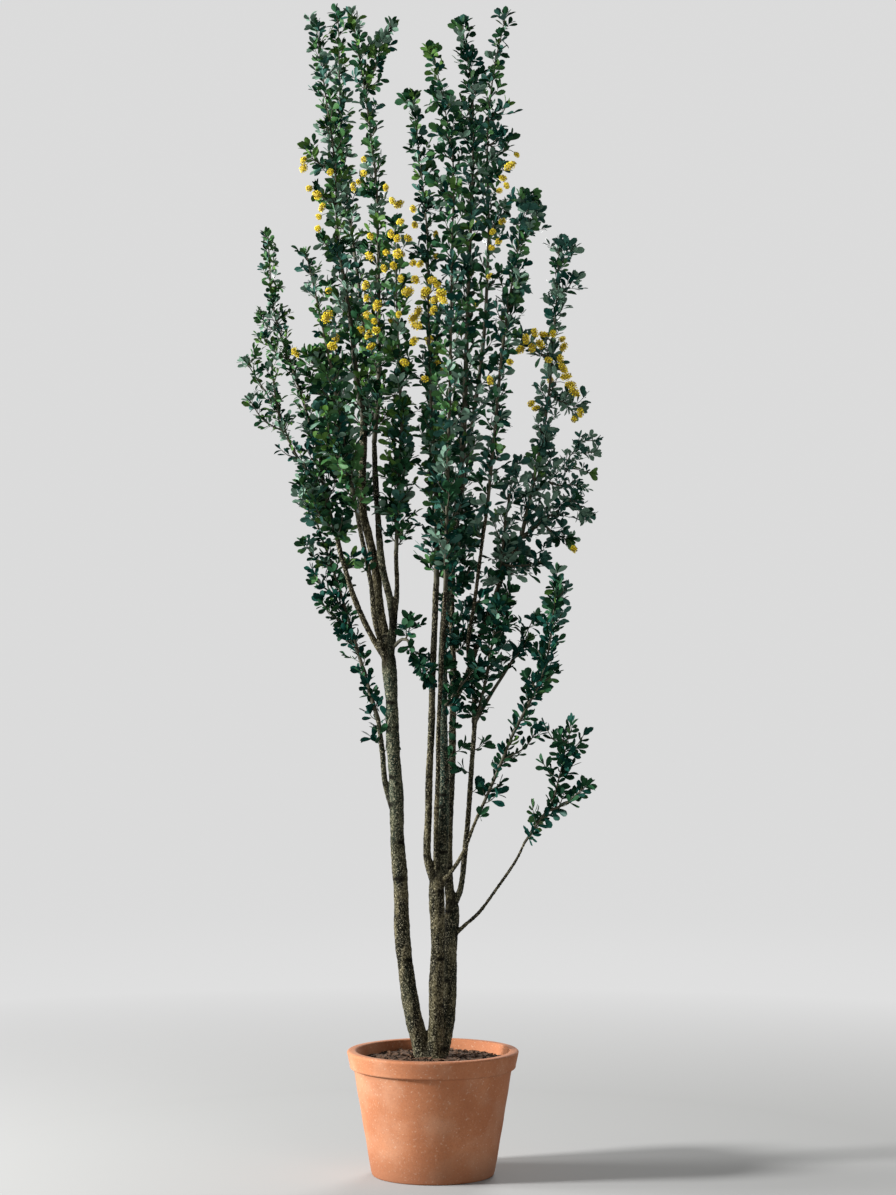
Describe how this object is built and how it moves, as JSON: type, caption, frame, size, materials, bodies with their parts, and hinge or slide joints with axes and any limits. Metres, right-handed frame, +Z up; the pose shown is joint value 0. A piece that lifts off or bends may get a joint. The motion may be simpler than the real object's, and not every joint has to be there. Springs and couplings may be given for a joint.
{
  "type": "potted siberian peashrub",
  "caption": "Tall, several-stemmed flowering shrub with slender leafy boughs and small yellow blossoms, growing in a plain round clay pot that stands on its flat underside.",
  "frame": {"origin": "middle of the pot's flat underside", "axes": "+Z up along the plant, -Y towards the viewer of the picture, +X to that viewer's right"},
  "size_m": [0.9404, 0.7027, 2.9167],
  "materials": {
    "clay": "matt unglazed terracotta, a little weathered",
    "soil": "dark moist potting soil with small bark chips",
    "bark": "grey-brown bark with pale pores and dark bands",
    "leaf": "matt dark green leaves with small yellow blossoms"
  },
  "bodies": {
    "root": {"pot": "clay", "soil": "soil", "root_crown": "bark", "left_stem": "bark", "middle_stem": "bark", "right_stem": "bark", "left_mid_bough": "bark", "left_inner_bough": "bark", "left_fourth_bough": "bark", "left_thin_bough": "bark", "left_fork_bough": "bark", "left_low_bough": "bark", "middle_main_bough": "bark", "middle_left_bough": "bark", "middle_front_bough": "bark", "middle_thin_bough": "bark", "right_inner_bough": "bark", "right_outer_bough": "bark", "right_low_bough": "bark", "right_slant_bough": "bark", "right_tall_bough": "bark", "left_low_foliage": "leaf", "left_fork_foliage": "leaf", "left_spire_foliage": "leaf", "left_outer_foliage": "leaf", "left_bush_foliage": "leaf", "left_wand_foliage": "leaf", "left_tall_foliage": "leaf", "left_tip_foliage": "leaf", "second_foliage": "leaf", "second_tip_foliage": "leaf", "third_foliage": "leaf", "third_tip_foliage": "leaf", "fourth_foliage": "leaf", "fourth_tip_foliage": "leaf", "left_drooping_foliage": "leaf", "centre_left_foliage": "leaf", "centre_left_tip_foliage": "leaf", "front_foliage": "leaf", "front_tip_foliage": "leaf", "centre_foliage": "leaf", "centre_tip_foliage": "leaf", "inner_foliage": "leaf", "inner_tip_foliage": "leaf", "back_foliage": "leaf", "back_left_foliage": "leaf", "stem_tuft_foliage": "leaf", "right_fork_foliage": "leaf", "right_shelf_foliage": "leaf", "right_bush_foliage": "leaf", "right_tall_foliage": "leaf", "right_tall_tip_foliage": "leaf", "right_ledge_foliage": "leaf", "right_spire_foliage": "leaf", "right_crest_foliage": "leaf", "low_right_foliage": "leaf", "low_right_tip_foliage": "leaf", "lowest_foliage": "leaf"}
  },
  "joints": []
}
